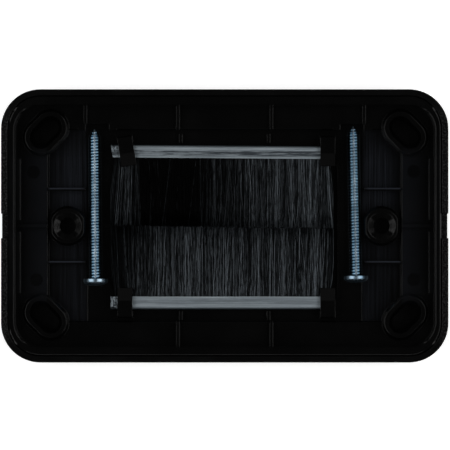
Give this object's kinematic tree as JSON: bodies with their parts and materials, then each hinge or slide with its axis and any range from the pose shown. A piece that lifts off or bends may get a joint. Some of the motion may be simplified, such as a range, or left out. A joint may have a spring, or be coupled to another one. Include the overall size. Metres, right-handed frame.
{
  "type": "brush cable wall plate",
  "caption": "Rectangular clip-on wall plate for media cables: a black cover over a ribbed base plate, with facing brush strips in folded channels across its window and loose fixing screws.",
  "frame": {"origin": "middle of the plate's outline, in the plane of the front face that the plate lies on", "axes": "+X along the plate's length, +Y across it, +Z out of its rear, towards the wall"},
  "size_m": [0.1194, 0.073, 0.0108],
  "materials": {
    "cover_plastic": "black ABS, satin moulded",
    "base_plastic": "black ABS, satin moulded with flow marks",
    "channel_metal": "bare folded strip, drawn lengthwise",
    "wire_metal": "plain drawn wire",
    "bristle_fibre": "black nylon fibre",
    "screw_zinc": "bright zinc plated"
  },
  "bodies": {
    "root": {"front_cover": "cover_plastic", "base_plate": "base_plastic", "upper_channel": "channel_metal", "upper_core_wire": "wire_metal", "upper_bristles": "bristle_fibre", "lower_channel": "channel_metal", "lower_core_wire": "wire_metal", "lower_bristles": "bristle_fibre", "left_screw": "screw_zinc", "right_screw": "screw_zinc"}
  },
  "joints": []
}
